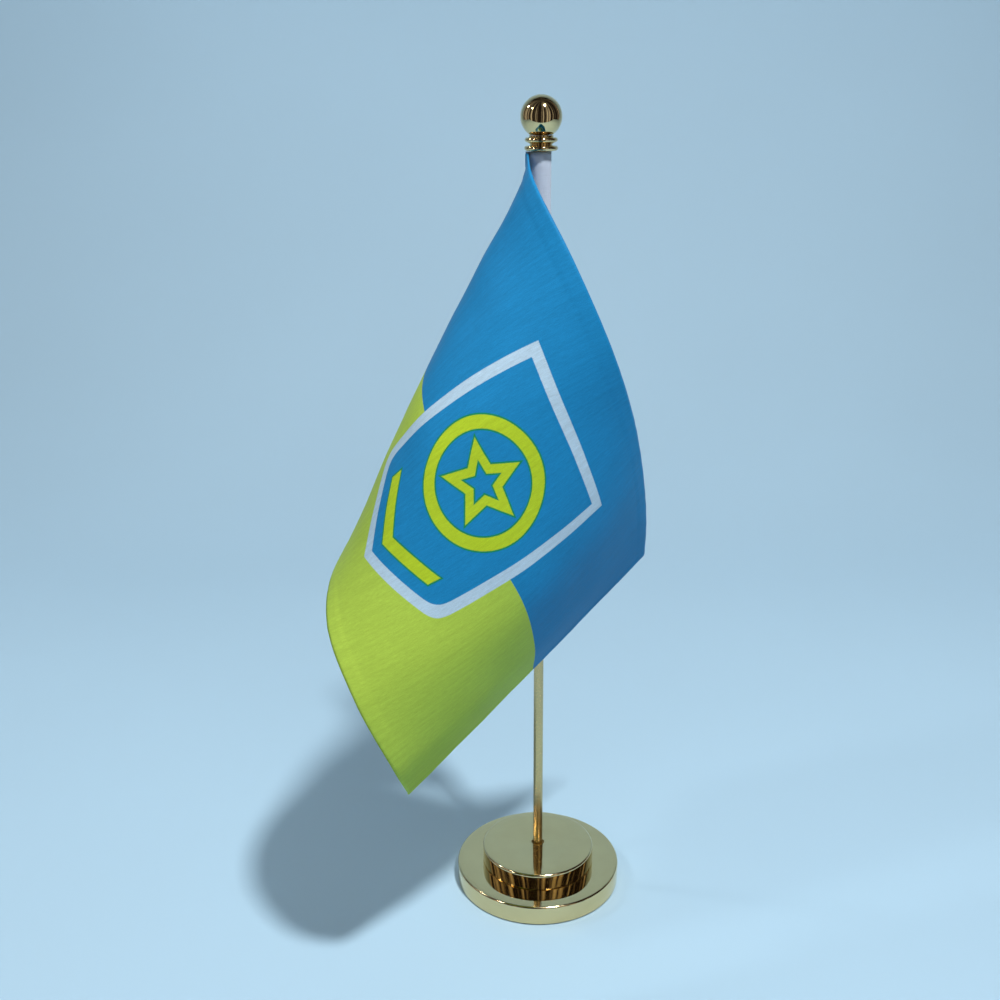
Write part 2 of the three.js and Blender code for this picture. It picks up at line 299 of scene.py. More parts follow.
def gold_plate(name, colour, rims=(), wear=0.8 * MM):
    """Mirror-polished gold with turning lines, faint smears and a paler worn rim."""
    gold = Finish(name)
    x, y, z = gold.place()
    radius = (x * x + y * y) ** 0.5
    here = gold.vector(x, y, z)
    lines = gold.mottle(gold.vector(radius * 9000, z * 9000, 0.0), 1.0, 2.0)
    smears = gold.mottle(here, 90.0, 4.0)
    dust = gold.spread(gold.specks(here, 1500.0), 0.0, 0.16, 1.0, 0.0)
    rubbed = radius * 0
    for rim_radius, rim_height in rims:
        across, up = radius - rim_radius, z - rim_height
        off = (across * across + up * up) ** 0.5
        rubbed = rubbed.most(gold.spread(off, 0.0, wear, 1.0, 0.0))
    rubbed = rubbed * gold.spread(gold.mottle(here, 700.0), 0.35, 0.65, 0.2, 1.0)
    tone = gold.spread(smears, 0.3, 0.7, 0.93, 1.0)
    worn = (0.86, 0.74, 0.48)
    body = gold.mix(rubbed * 0.35, gold.shade(colour, tone), worn)
    return gold.surface(
        Base_Color=body,
        Metallic=1.0,
        Roughness=gold.spread(smears, 0.35, 0.75, 0.035, 0.10) + rubbed * 0.12 + dust * 0.10,
        Normal=gold.bump(lines, 0.06, 0.02 * MM),
    )


def drawn_tube(name, colour):
    """Gold-plated drawn tube: long faint streaks, specks and a satin gloss."""
    tube = Finish(name)
    x, y, z = tube.place()
    here = tube.vector(x, y, z)
    tarnish = (0.40, 0.32, 0.18)
    streaks = tube.mottle(tube.vector(x * 2600, y * 2600, z * 60), 1.0, 3.0)
    speckle = tube.mottle(here, 1900.0, 2.0)
    cloudy = tube.mottle(tube.vector(x * 60, y * 60, z * 22), 1.0, 3.0)
    tone = tube.spread(streaks, 0.25, 0.75, 0.92, 1.03) * tube.spread(speckle, 0.3, 0.7, 0.95, 1.03)
    tarnished = tube.mix(tube.spread(cloudy, 0.4, 0.75, 0.0, 0.45), colour, tarnish)
    return tube.surface(
        Base_Color=tube.shade(tarnished, tone),
        Metallic=1.0,
        Roughness=tube.spread(speckle, 0.3, 0.7, 0.22, 0.28),
        Normal=tube.bump(streaks, 0.02, 0.02 * MM),
    )


def turned_metal(name, colour, dull, roughness):
    """A turned fitting: fine rings from the tool and patchy dullness."""
    metal = Finish(name)
    x, y, z = metal.place()
    radius = (x * x + y * y) ** 0.5
    rings = metal.mottle(metal.vector(radius * 5000, z * 5000, 0.0), 1.0, 2.0)
    patches = metal.mottle(metal.vector(x, y, z), 320.0, 4.0)
    return metal.surface(
        Base_Color=metal.mix(metal.spread(patches, 0.35, 0.7, 0.0, 0.7), colour, dull),
        Metallic=1.0,
        Roughness=metal.spread(patches, 0.3, 0.7, roughness - 0.08, roughness + 0.12),
        Normal=metal.bump(rings, 0.25, 0.04 * MM),
    )


def cast_iron(name):
    """Rough sand-cast iron with a little rust."""
    iron = Finish(name)
    here = iron.vector(*iron.place())
    black, brown = (0.10, 0.10, 0.105), (0.16, 0.07, 0.035)
    grain = iron.mottle(here, 900.0, 5.0, 0.7)
    rust = iron.spread(iron.mottle(here, 160.0, 4.0), 0.52, 0.72, 0.0, 0.8)
    return iron.surface(
        Base_Color=iron.mix(rust, iron.shade(black, grain + 0.5), brown),
        Metallic=iron.spread(rust, 0.0, 0.6, 0.85, 0.1),
        Roughness=iron.spread(grain, 0.2, 0.8, 0.55, 0.85),
        Normal=iron.bump(grain, 0.8, 0.25 * MM),
    )


def pressed_felt(name):
    """Green wool felt: matted fibres and a mottled tone."""
    felt = Finish(name)
    x, y, z = felt.place()
    here = felt.vector(x, y, z)
    fibres = felt.mottle(felt.vector(x * 2600, y * 700, z * 1500), 1.0, 4.0, 0.7)
    crossed = felt.mottle(felt.vector(x * 700, y * 2600, z * 1500), 1.0, 4.0, 0.7)
    patches = felt.mottle(here, 120.0, 3.0)
    mat = fibres.most(crossed)
    tone = felt.spread(mat, 0.4, 0.8, 0.6, 1.5)
    return felt.surface(
        Base_Color=felt.shade(felt.mix(patches, (0.022, 0.075, 0.045), (0.04, 0.11, 0.07)), tone),
        Roughness=felt.spread(mat, 0.3, 0.8, 1.0, 0.85),
        Sheen_Weight=0.5,
        Sheen_Roughness=0.6,
        Normal=felt.bump(mat, 1.0, 0.3 * MM),
    )


def moulded_rubber(name):
    """Matt black rubber with a mould line and a little bloom."""
    rubber = Finish(name)
    x, y, z = rubber.place()
    here = rubber.vector(x, y, z)
    bloom = rubber.mottle(here, 500.0, 4.0)
    grain = rubber.mottle(here, 4000.0, 2.0)
    return rubber.surface(
        Base_Color=rubber.mix(bloom, (0.018, 0.018, 0.02), (0.055, 0.055, 0.058)),
        Roughness=rubber.spread(bloom, 0.3, 0.7, 0.62, 0.85),
        Normal=rubber.bump(grain, 0.3, 0.03 * MM),
    )


def woven_tape(name, width, length, pitch=0.34 * MM):
    """White plain-woven tape: yarns that pass over and under each other, with painted shade between
    the yarns and a white that is painted darker and bluer as shade.
    """
    tape = Finish(name)
    across, along = tape.weave_place(width, length)
    warp, weft = across / pitch, along / pitch
    over = (warp.maths("FLOOR") + weft.maths("FLOOR")) % 2.0
    warp_yarn = abs((warp * math.pi).maths("SINE"))
    weft_yarn = abs((weft * math.pi).maths("SINE"))
    height = warp_yarn * over + weft_yarn * (1 - over)
    slub = tape.mottle(tape.vector(across * 260, along * 2400, 0.0), 1.0, 3.0)
    soil = tape.mottle(tape.vector(across, along, 0.0), 120.0, 3.0)
    # Painted shade: the base colour is darker where the yarns dip between each other; the slubs vary
    # the yarn's own tone.
    tone = tape.spread(height, 0.0, 0.8, 0.80, 1.0) * tape.spread(slub, 0.3, 0.7, 0.95, 1.02)
    # Painted shade: the tape's white is darkened and tinted blue to stand for the shade it hangs in;
    # the soil patches are real dirt.
    soiled_white_in_painted_shade = tape.mix(tape.spread(soil, 0.4, 0.8, 0.0, 0.5), (0.52, 0.60, 0.72), (0.46, 0.51, 0.60))
    return tape.surface(
        Base_Color=tape.shade(soiled_white_in_painted_shade, tone),
        Roughness=tape.spread(slub, 0.3, 0.7, 0.75, 0.9),
        Sheen_Weight=0.2,
        Normal=tape.bump(height + slub * 0.6, 0.6, 0.06 * MM),
    )


def thread_white(name):
    """White sewing thread: two plies twisted round each other, with painted shade in the grooves
    between them.
    """
    thread = Finish(name)
    x, y, z = thread.place()
    twist = ((z * 14000 + x * 9000 + y * 9000).maths("SINE")) * 0.5 + 0.5
    fuzz = thread.mottle(thread.vector(x, y, z), 6000.0)
    return thread.surface(
        # Painted shade: the base colour darkens in the grooves of the twist between the plies.
        Base_Color=thread.shade(thread.mix(fuzz, (0.84, 0.85, 0.9), (0.74, 0.75, 0.8)),
                                thread.spread(twist, 0.0, 1.0, 0.75, 1.0)),
        Roughness=thread.spread(fuzz, 0.3, 0.7, 0.6, 0.8),
        Normal=thread.bump(twist, 0.6, 0.05 * MM),
    )


def printed_satin(name, fly, hoist, colours):
    """Satin with two printed bands, and a bordered shield that carries a star in a ring."""
    satin = Finish(name)
    along, down = satin.weave_place(fly, hoist)
    soft_edge = 0.22 * MM

    def inside(distance):
        """1 where a signed distance is under 0, with the slight blur of a print."""
        return (0.5 - distance / soft_edge).clamped()

    bleed = (satin.mottle(satin.vector(along, down, 0.0), 2600.0, 2.0) - 0.5) * (0.3 * MM)
    lean = math.radians(4)
    from_middle, from_centre = along - 0.5 * fly - 1.5 * MM, down - 0.5 * hoist
    sideways = from_middle * math.cos(lean) + from_centre * math.sin(lean)
    height = from_centre * math.cos(lean) - from_middle * math.sin(lean) + 0.5 * hoist
    side = abs(sideways)

    # Shield: a square top, straight sides, rounded lower corners and a blunt point.
    top, half, point, fall = 23 * MM, 33.5 * MM, 117 * MM, math.radians(28)
    slant = ((height - point) + side * math.tan(fall)) * math.cos(fall)
    shield = (side - half).maths("SMOOTH_MAX", slant, 7 * MM).most(top - height)
    border = 4 * MM

    # Emblem: a ring, an open five-pointed star and a chevron under them.
    centre, ring, stroke = 61 * MM, 20.5 * MM, 2.3 * MM
    rise = centre - height
    off = (sideways * sideways + rise * rise) ** 0.5
    fifth = math.tau / 5
    turn = sideways.maths("ARCTAN2", rise)
    folded = abs((turn + fifth / 2) % fifth - fifth / 2)
    tip, notch = 15.5 * MM, 7.2 * MM
    to_notch = Vector((notch * math.cos(fifth / 2) - tip, notch * math.sin(fifth / 2)))
    to_notch.normalize()
    star_side = ((off * folded.maths("COSINE") - tip) * to_notch.y
                 - off * folded.maths("SINE") * to_notch.x)
    star_line = abs(star_side + 1.5 * MM) - 1.5 * MM
    chevron = abs(((height - 104 * MM) + side * math.tan(fall)) * math.cos(fall)) - stroke
    chevron = chevron.most(side - 21 * MM)
    emblem = (abs(off - ring) - stroke).least(star_line).least(chevron) + bleed

    bands = satin.mix(inside(down - 70.6 * MM + bleed), colours.lower_band, colours.upper_band)
    shielded = satin.mix(inside(shield + bleed), bands, colours.border)
    field = satin.mix(inside(shield + border + bleed), shielded, colours.upper_band)
    outlined = satin.mix(inside(emblem - 0.6 * MM), field, colours.outline)
    print_colour = satin.mix(inside(emblem), outlined, colours.emblem)

    # Satin: long floats that run with the hoist, each a little higher or duller than the next. The
    # base colour is lighter on the raised floats and grain and darker between them, and faintly
    # streaked: painted sheen and painted shade over the cloth's own uneven tone.
    floats = satin.mottle(satin.vector(along * 5200, down * 420, 0.0), 1.0, 2.0)
    grain = satin.mottle(satin.vector(along, down, 0.0), 3300.0, 2.0, 0.7)
    streaks = satin.mottle(satin.vector(along * 900, down * 55, 0.0), 1.0, 3.0)
    cloud = satin.mottle(satin.vector(along, down, 0.0), 28.0, 2.0)
    tone = (satin.spread(floats, 0.25, 0.75, 0.86, 1.10) * satin.spread(grain, 0.25, 0.75, 0.88, 1.12)
            * satin.spread(streaks, 0.3, 0.7, 0.93, 1.07) * satin.spread(cloud, 0.3, 0.7, 0.97, 1.03))
    return satin.surface(
        Base_Color=satin.shade(print_colour, tone),
        Roughness=satin.spread(floats + grain, 0.7, 1.3, 0.46, 0.62),
        Specular_IOR_Level=0.08,
        Sheen_Weight=0.02,
        Sheen_Roughness=0.4,
        Normal=satin.bump(floats + grain * 0.8, 0.35, 0.08 * MM),
    )


# ---------------------------------------------------------------- making and placing pieces


def arc(centre, height, radius, start, end, steps=8):
    """(radius, height) points of an arc in an outline, angles in degrees from straight outwards."""
    turns = [math.radians(start + (end - start) * i / steps) for i in range(steps + 1)]
    return [(centre + radius * math.cos(t), height + radius * math.sin(t)) for t in turns]


def smoothed(name, shape, sharp=38):
    """The bmesh as an object, smooth but for edges sharper than an angle."""
    for face in shape.faces:
        face.smooth = True
    for edge in shape.edges:
        edge.smooth = edge.calc_face_angle(0) < math.radians(sharp)
    mesh = bpy.data.meshes.new(name)
    shape.to_mesh(mesh)
    shape.free()
    piece = bpy.data.objects.new(name, mesh)
    bpy.context.scene.collection.objects.link(piece)
    return piece


def turned(name, outline, closed=False, steps=64):
    """A piece turned about the pole's axis from an outline of (radius, height) points."""
    shape = bmesh.new()
    points = [shape.verts.new((radius, 0, height)) for radius, height in outline]
    pairs = list(zip(points, points[1:])) + ([(points[-1], points[0])] if closed else [])
    edges = [shape.edges.new(pair) for pair in pairs]
    bmesh.ops.spin(
        shape, geom=points + edges, cent=(0, 0, 0), axis=(0, 0, 1), angle=math.tau,
        steps=steps, use_merge=True)
    bmesh.ops.remove_doubles(shape, verts=shape.verts, dist=1e-6)
    bmesh.ops.recalc_face_normals(shape, faces=shape.faces)
    return smoothed(name, shape)


def place(piece, body, slot, finish, *nodes):
    """Gives the piece its body and finish, and hides the frame's nodes that it stands for."""
    piece.data.materials.append(finish)
    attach(piece, body)
    if nodes:
        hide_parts(*nodes)
    return piece


def dress(node, finish):
    """Gives a node of the frame its finish."""
    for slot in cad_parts[node].material_slots:
        slot.material = finish


def threaded(inner, outer, bottom, top, pitch):
    """Outline points up a thread that is cut between two radii."""
    count = max(1, round((top - bottom) / pitch))
    step = (top - bottom) / count
    ridge = [(inner, 0.0), (outer, 0.4), (outer, 0.6), (inner, 1.0)]
    return [(r, bottom + (i + share) * step) for i in range(count) for r, share in ridge[:-1]] + [
        (inner, top)]


# ---------------------------------------------------------------- base


def tier_outline(sizes, radius, bottom, top, hole):
    """Half the section of one tier, a cup that is open below."""
    shoulder = top - sizes.shoulder_drop
    flat = radius - sizes.edge - sizes.shoulder
    inner = radius - sizes.shell
    under = top - sizes.shell
    lip = 0.15 * MM
    blend = 0.5 * MM
    return [
        (inner, bottom + lip),
        *arc(radius - sizes.foot, bottom + sizes.foot, sizes.foot, -90, 0, 6),
        *arc(radius - sizes.edge, shoulder - sizes.edge, sizes.edge, 0, 86, 10),
        (flat + blend, top - 0.12 * sizes.shoulder_drop),
        (flat, top - 0.02 * sizes.shoulder_drop),
        (flat - blend, top),
        *arc(hole + lip, top - lip, lip, 90, 180, 4),
        (hole, under),
        (flat, under),
        (inner - 0.3 * MM, shoulder - sizes.shell),
        (inner, shoulder - sizes.shell - 0.3 * MM),
    ]


class FLAGSTAND_OT_base(Operator):
    """Turns the two tiers of the base and the felt pad under them"""

    bl_idname = "flagstand.base"
    bl_label = "Base"

    def execute(self, context):
        sizes, colours = context.scene.flagstand_sizes, context.scene.flagstand_colours
        socket_radius = reach("pole_socket")[0]
        holes = {"base_lower_shell": socket_radius - 2.4 * MM, "base_upper_shell": sizes.pole_hole}
        for node, name in (("base_lower_shell", "lower_tier"), ("base_upper_shell", "upper_tier")):
            radius, bottom, top = reach(node)
            outline = tier_outline(sizes, radius, bottom, top, holes[node])
            tier = turned(name, outline, closed=True, steps=sizes.turn_steps)
            rims = [(radius - 0.3 * sizes.edge, top - sizes.shoulder_drop - 0.3 * sizes.edge)]
            place(tier, "base", "gold_plate", gold_plate(name, colours.gold, rims), node)

        radius, bottom, top = reach("felt_pad")
        edge = 0.35 * MM
        pad = turned("felt_disc", [
            (0, bottom), (radius * 0.5, bottom),
            *arc(radius - edge, bottom + edge, edge, -90, 0, 4),
            *arc(radius - edge, top - edge, edge, 0, 90, 4),
            (radius * 0.5, top), (0, top),
        ], steps=sizes.turn_steps)
        place(pad, "base", "felt_pad", pressed_felt("felt"), "felt_pad")
        return {"FINISHED"}


# ---------------------------------------------------------------- pole


class FLAGSTAND_OT_pole(Operator):
    """Turns the pole tube, its threaded top stud and the rubber stop ring"""

    bl_idname = "flagstand.pole"
    bl_label = "Pole"

    def execute(self, context):
        sizes, colours = context.scene.flagstand_sizes, context.scene.flagstand_colours
        radius, bottom, top = reach("pole_tube")
        stud, stud_bottom, stud_top = reach("pole_top_stud")
        bore = stud + 0.05 * MM
        edge = 0.15 * MM
        tube = turned("pole", [
            (bore, bottom),
            *arc(radius - edge, bottom + edge, edge, -90, 0, 3),
            *arc(radius - edge, top - edge, edge, 0, 90, 3),
            (bore, top),
        ], closed=True, steps=48)
        place(tube, "pole", "pole_gold", drawn_tube("drawn_gold", colours.pole), "pole_tube")

        steel = turned_metal("thread_steel", (0.50, 0.51, 0.53), (0.36, 0.35, 0.32), 0.32)
        cut = 0.3 * MM
        screw = turned("top_stud", [
            (0, stud_bottom), (stud, stud_bottom),
            *threaded(stud - cut, stud, top - 1.2 * MM, stud_top - cut, sizes.thread_pitch),
            (stud - 1.6 * cut, stud_top), (0, stud_top),
        ], steps=40)
        place(screw, "pole", "zinc_steel", steel, "pole_top_stud")

        outer, ring_bottom, ring_top = reach("sleeve_stop_ring")
        section = (ring_top - ring_bottom) / 2
        ring = turned(
            "stop_ring", arc(outer - section, ring_bottom + section, section, 0, 345, 23),
            closed=True, steps=56)
        place(ring, "pole", "black_rubber", moulded_rubber("rubber"), "sleeve_stop_ring")
        return {"FINISHED"}


# ---------------------------------------------------------------- finial


class FLAGSTAND_OT_finial(Operator):
    """Turns the ball, its two-ringed collar and the threaded insert inside it"""

    bl_idname = "flagstand.finial"
    bl_label = "Finial"

    def execute(self, context):
        sizes, colours = context.scene.flagstand_sizes, context.scene.flagstand_colours
        ring, collar_bottom, collar_top = reach("finial_collar")
        insert, insert_bottom, insert_top = reach("finial_insert")
        ball, ball_foot, ball_top = reach("finial_ball")
        rivet = reach("finial_rivet")[0]
        bead = 0.88 * MM
        lower, upper = collar_bottom + bead, collar_bottom + 3.8 * MM
        neck, flare = insert + 0.85 * MM, 0.35 * MM
        bore = insert + 0.05 * MM
        web = collar_top - 2.2 * MM
        collar = turned("collar", [
            (bore, collar_bottom),
            *arc(ring - bead, lower, bead, -84, 84, 16),
            *arc(neck + 0.35 * MM, lower + bead + 0.4 * MM, 0.35 * MM, -120, -240, 6),
            *arc(ring - 0.15 * MM - bead, upper, bead, -84, 84, 16),
            *arc(neck + flare + 0.3 * MM, upper + bead + 0.3 * MM, 0.3 * MM, -130, -180, 4),
            (neck + flare, collar_top),
            (rivet, collar_top), (rivet, web), (bore, web),
        ], closed=True, steps=72)
        rims = [(ring, lower), (ring - 0.15 * MM, upper)]
        place(collar, "finial", "gold_plate",
              gold_plate("collar", colours.gold, rims, 0.5 * MM), "finial_collar")

        centre = ball_top - ball
        foot = math.degrees(math.acos(4.2 * MM / ball))
        seat = rivet - 0.6 * MM
        knob = turned("ball", [
            (seat, ball_foot),
            *arc(0, centre, ball, -foot, 90, 48)[:-1],
            (0, ball_top), (0, ball_foot + 6.4 * MM),
            (seat, ball_foot + 6.4 * MM), (seat, ball_foot),
        ], steps=96)
        place(knob, "finial", "gold_plate", gold_plate("ball", colours.gold), "finial_ball")

        brass = turned_metal("insert_brass", (0.62, 0.44, 0.18), (0.40, 0.30, 0.15), 0.34)
        thread = insert - 1.6 * MM
        nut = turned("insert", [
            (insert, insert_bottom), (insert, insert_top), (thread + 0.1 * MM, insert_top),
            *threaded(thread + 0.1 * MM, thread, insert_bottom + 0.2 * MM, insert_top - 0.2 * MM,
                      sizes.thread_pitch)[::-1],
            (thread + 0.2 * MM, insert_bottom),
        ], closed=True, steps=40)
        place(nut, "finial", "brass_fitting", brass, "finial_insert")
        return {"FINISHED"}


# ---------------------------------------------------------------- hidden fittings


class FLAGSTAND_OT_fittings(Operator):
    """Gives the fittings that keep the frame's own shape their finishes"""

    bl_idname = "flagstand.fittings"
    bl_label = "Fittings"

    def execute(self, context):
        brass = turned_metal("fitting_brass", (0.60, 0.44, 0.19), (0.42, 0.33, 0.18), 0.38)
        zinc = turned_metal("fitting_zinc", (0.52, 0.54, 0.57), (0.44, 0.42, 0.36), 0.36)
        iron = cast_iron("weight_iron")
        for node in ("pole_socket", "pole_foot_plug"):
            dress(node, brass)
        for node in ("clamp_nut", "spring_washer", "flat_washer", "finial_rivet"):
            dress(node, zinc)
        for node in ("lower_weight", "upper_weight"):
            dress(node, iron)
        return {"FINISHED"}


# ---------------------------------------------------------------- flag

# How the cloth hangs: three of its lines from hoist to fly, at the top, middle and bottom, in equal
# steps. A point is [x, y, drop] in millimetres, and drop is its depth under the line's start.
HOIST_X = -5.0
DRAPE = (
    ((-3, -31, 9), (10, -45, 34), (23, -45, 63), (32, -33, 89), (38, -18, 114), (42, -3, 139),
     (44, 14, 163)),
    ((-34, -10, -1), (-42, -36, 7), (-36, -58, 26), (-22, -66, 51), (-8, -62, 78), (-3, -45, 103),
     (-3, -25, 125)),
    ((-34, 2, -2), (-62, -8, -2), (-76, -34, 5), (-77, -62, 17), (-66, -81, 38), (-54, -79, 66),
     (-50, -60, 89)),
)


def along_row(row, top, share):
    """Points of one line of the cloth at each share of its length, hoist 0 to fly 1."""
    knots = np.array([(HOIST_X, 0, 0), *row], float)
    knots = np.vstack([2 * knots[0] - knots[1], knots, 2 * knots[-1] - knots[-2]])
    place_on = share * (len(knots) - 3)
    first = np.clip(np.floor(place_on).astype(int), 0, len(knots) - 4)
    t = (place_on - first)[..., None]
    a, b, c, d = (knots[first + i] for i in range(4))
    curve = b + 0.5 * t * (c - a + t * (2 * a - 5 * b + 4 * c - d + t * (3 * (b - c) + d - a)))
    return np.stack([curve[..., 0], curve[..., 1], top / MM - curve[..., 2]], axis=-1) * MM


def cloth(sizes, top, along, down):
    """Points of the middle of the cloth, along and down as shares of the fly and hoist."""
    rows = [along_row(row, top - sizes.hoist * i / 2, along) for i, row in enumerate(DRAPE)]
    d = down[..., None]
    return rows[0] * 2 * (d - 0.5) * (d - 1) - rows[1] * 4 * d * (d - 1) + rows[2] * 2 * d * (d - 0.5)


def cloth_normal(sizes, top, along, down, step=0.002):
    """The cloth's outward side, away from the pole."""
    flyward = (cloth(sizes, top, np.minimum(along + step, 1), down)
               - cloth(sizes, top, np.maximum(along - step, 0), down))
    downward = (cloth(sizes, top, along, np.minimum(down + step, 1))
                - cloth(sizes, top, along, np.maximum(down - step, 0)))
    out = np.cross(downward, flyward)
    return out / np.linalg.norm(out, axis=-1, keepdims=True)


def ease(value):
    """0 to 1 with a soft start and end."""
    share = np.clip(value, 0, 1)
    return share * share * (3 - 2 * share)


def wander(along, down, seed, length):
    """Smooth noise over the flat cloth, about -1 to 1, of a given length across."""
    return np.array([
        noise.noise(Vector((a / length, d / length, seed))) * 2 for a, d in zip(along, down)])


def relief(sizes, along, down):
    """How far the cloth stands off its smooth drape: soft folds, seam puckers and the fly's curl."""
    to_fly = sizes.fly - along
    to_side = np.minimum(down, sizes.hoist - down)
    to_edge = np.minimum(to_fly, to_side)
    folds = 0.28 * MM * wander(along * 0.6 + down * 0.5, down * 1.2 - along * 0.35, 3.0, 26 * MM)
    folds = folds * ease(along / (30 * MM)) * (0.3 + 0.7 * ease(to_edge / (18 * MM)))
    run = np.where(to_fly < to_side, down, along)
    pucker = np.sin(run / (1.7 * MM) + 2.5 * wander(along, down, 9.0, 14 * MM))
    pucker = 0.035 * MM * pucker * np.exp(-((to_edge / (3.5 * MM)) ** 2))
    curl = -sizes.curl * np.clip(1 - to_fly / (4 * MM), 0, 1) ** 2
    return folds + pucker + curl


def layer_offset(sizes, along, down):
    """Half the distance between the middles of the two layers: the turned-in seam lifts them."""
    to_edge = np.minimum(sizes.fly - along, np.minimum(down, sizes.hoist - down))
    least = 0.52 * sizes.satin
    seam = 0.16 * MM * ease((sizes.hem + 0.8 * MM - to_edge) / (0.9 * MM)) * ease(to_edge / (0.6 * MM))
    slack = 0.10 * MM * ease(to_edge / (12 * MM))
    tab = 0.35 * MM * ease(1 - along / (3 * MM))
    return least + seam + slack + tab


def round_corner(sizes, along, down):
    """Moves points of the upper fly corner so that it is rounded."""
    r = sizes.corner
    a = np.clip((along - (sizes.fly - r)) / r, 0, 1)
    b = np.clip((r - down) / r, 0, 1)
    inside = (a > 0) & (b > 0)
    along = np.where(inside, sizes.fly - r + r * a * np.sqrt(1 - b * b / 2), along)
    down = np.where(inside, r - r * b * np.sqrt(1 - a * a / 2), down)
    return along, down


def satin_layer(name, sizes, top, side):
    """One satin layer as a fine sheet, on the outer (1) or inner (-1) side of the drape."""
    steps = (round(sizes.fly / MM), round(sizes.hoist / MM))
    shape = bmesh.new()
    flat_map = shape.loops.layers.uv.new("flat")
    bmesh.ops.create_grid(shape, x_segments=steps[0], y_segments=steps[1], size=0.5)
    shape.verts.ensure_lookup_table()
    flat = np.array([v.co for v in shape.verts])
    along, down = (flat[:, 0] + 0.5) * sizes.fly, (0.5 - flat[:, 1]) * sizes.hoist
    along, down = round_corner(sizes, along, down)
    shares = along / sizes.fly, down / sizes.hoist
    out = cloth_normal(sizes, top, *shares)
    off = relief(sizes, along, down) + side * layer_offset(sizes, along, down)
    places = cloth(sizes, top, *shares) + out * off[:, None]
    for vertex, point in zip(shape.verts, places):
        vertex.co = point
    for face in shape.faces:
        for loop in face.loops:
            loop[flat_map].uv = (shares[0][loop.vert.index], shares[1][loop.vert.index])
    bmesh.ops.recalc_face_normals(shape, faces=shape.faces)
    face = next(iter(shape.faces))
    if face.normal.dot(Vector(out[face.verts[0].index])) * side < 0:
        bmesh.ops.reverse_faces(shape, faces=shape.faces)
    layer = smoothed(name, shape, 80)
    wall = layer.modifiers.new("thickness", "SOLIDIFY")
    wall.thickness, wall.offset, wall.use_even_offset = sizes.satin, 0, False
    return layer


class FLAGSTAND_OT_flag(Operator):
    """Hangs the two satin layers of the flag"""

    bl_idname = "flagstand.flag"
    bl_label = "Flag"

    def execute(self, context):
        sizes, colours = context.scene.flagstand_cloth, context.scene.flagstand_colours
        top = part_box("flag_sleeve")[1].z
        satin = printed_satin("printed_satin", sizes.fly, sizes.hoist, colours)
        for name, node, side in (
                ("flag_front", "flag_front_layer", 1), ("flag_back", "flag_back_layer", -1)):
            layer = satin_layer(name, sizes, top, side)
            place(layer, "flag", "flag_satin", satin, node)
        return {"FINISHED"}


# ---------------------------------------------------------------- sleeve


def sleeve_section(radius, tab_start, tab_end, half, steps):
    """Even points round the sleeve's section: tab, round the pole, and back to the tab."""
    lean = math.acos(min(1.0, radius / math.hypot(tab_start, half)))
    meet = math.pi - lean
    bend = [(radius * math.cos(t), radius * math.sin(t))
            for t in np.linspace(meet, -meet, 49)]
    line = np.array([(-tab_end, half), (-tab_start, half), *bend, (-tab_start, -half),
                     (-tab_end, -half)])
    run = np.concatenate([[0], np.cumsum(np.linalg.norm(np.diff(line, axis=0), axis=1))])
    at = np.linspace(0, run[-1], steps + 1)
    return np.stack([np.interp(at, run, line[:, k]) for k in (0, 1)], axis=1), run[-1]


class FLAGSTAND_OT_sleeve(Operator):
    """Wraps the tape sleeve round the pole and sews it along the hoist"""

    bl_idname = "flagstand.sleeve"
    bl_label = "Sleeve"

    def execute(self, context):
        sizes = context.scene.flagstand_cloth
        low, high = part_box("flag_sleeve")
        radius = high.x - sizes.tape / 2
        tab_start, tab_end, half = 4.45 * MM, 5.5 * MM, 0.25 * MM
        rows, columns = 110, 88
        section, width = sleeve_section(radius, tab_start, tab_end, half, columns)
        shape = bmesh.new()
        flat_map = shape.loops.layers.uv.new("flat")
        bmesh.ops.create_grid(shape, x_segments=columns, y_segments=rows, size=0.5)
        shares = {}
        for vertex in shape.verts:
            across, up = vertex.co.x + 0.5, vertex.co.y + 0.5
            shares[vertex] = (across, up)
            x, y = section[round(across * columns)]
            round_part = max(0.0, min(1.0, (x + tab_start) / (3 * MM)))
            slack = noise.noise(Vector((across * 5, up * 9, 1.7))) * 0.35 * MM * round_part
            out = Vector((x, y)).normalized() * min(0.0, slack)
            vertex.co = (x + out.x, y + out.y, low.z + (high.z - low.z) * up)
        for face in shape.faces:
            for loop in face.loops:
                loop[flat_map].uv = shares[loop.vert]
        bmesh.ops.recalc_face_normals(shape, faces=shape.faces)
        sleeve = smoothed("sleeve", shape, 60)
        wall = sleeve.modifiers.new("thickness", "SOLIDIFY")
        wall.thickness, wall.offset = sizes.tape, 0
        tape = woven_tape("white_tape", width, sizes.hoist)
        place(sleeve, "flag", "white_tape", tape, "flag_sleeve")

        seam = bmesh.new()
        count = int((high.z - low.z - 2 * MM) / sizes.stitch_pitch)
        start = (low.z + high.z - (count - 1) * sizes.stitch_pitch) / 2
        for side in (-1, 1):
            for i in range(count):
                lean = Matrix.Rotation(math.radians(4 * side), 4, "X")
                size = Matrix.Diagonal((0.17 * MM, 0.13 * MM, 1.05 * MM, 1))
                middle = (-(tab_start + 0.35 * MM), side * (half + sizes.tape / 2 + 0.04 * MM),
                          start + i * sizes.stitch_pitch)
                bmesh.ops.create_uvsphere(
                    seam, u_segments=8, v_segments=6, radius=1,
                    matrix=Matrix.Translation(middle) @ lean @ size)
        stitches = smoothed("hoist_stitches", seam)
        place(stitches, "flag", "white_tape", thread_white("white_thread"), "hoist_stitching")
        return {"FINISHED"}


# ---------------------------------------------------------------- stage


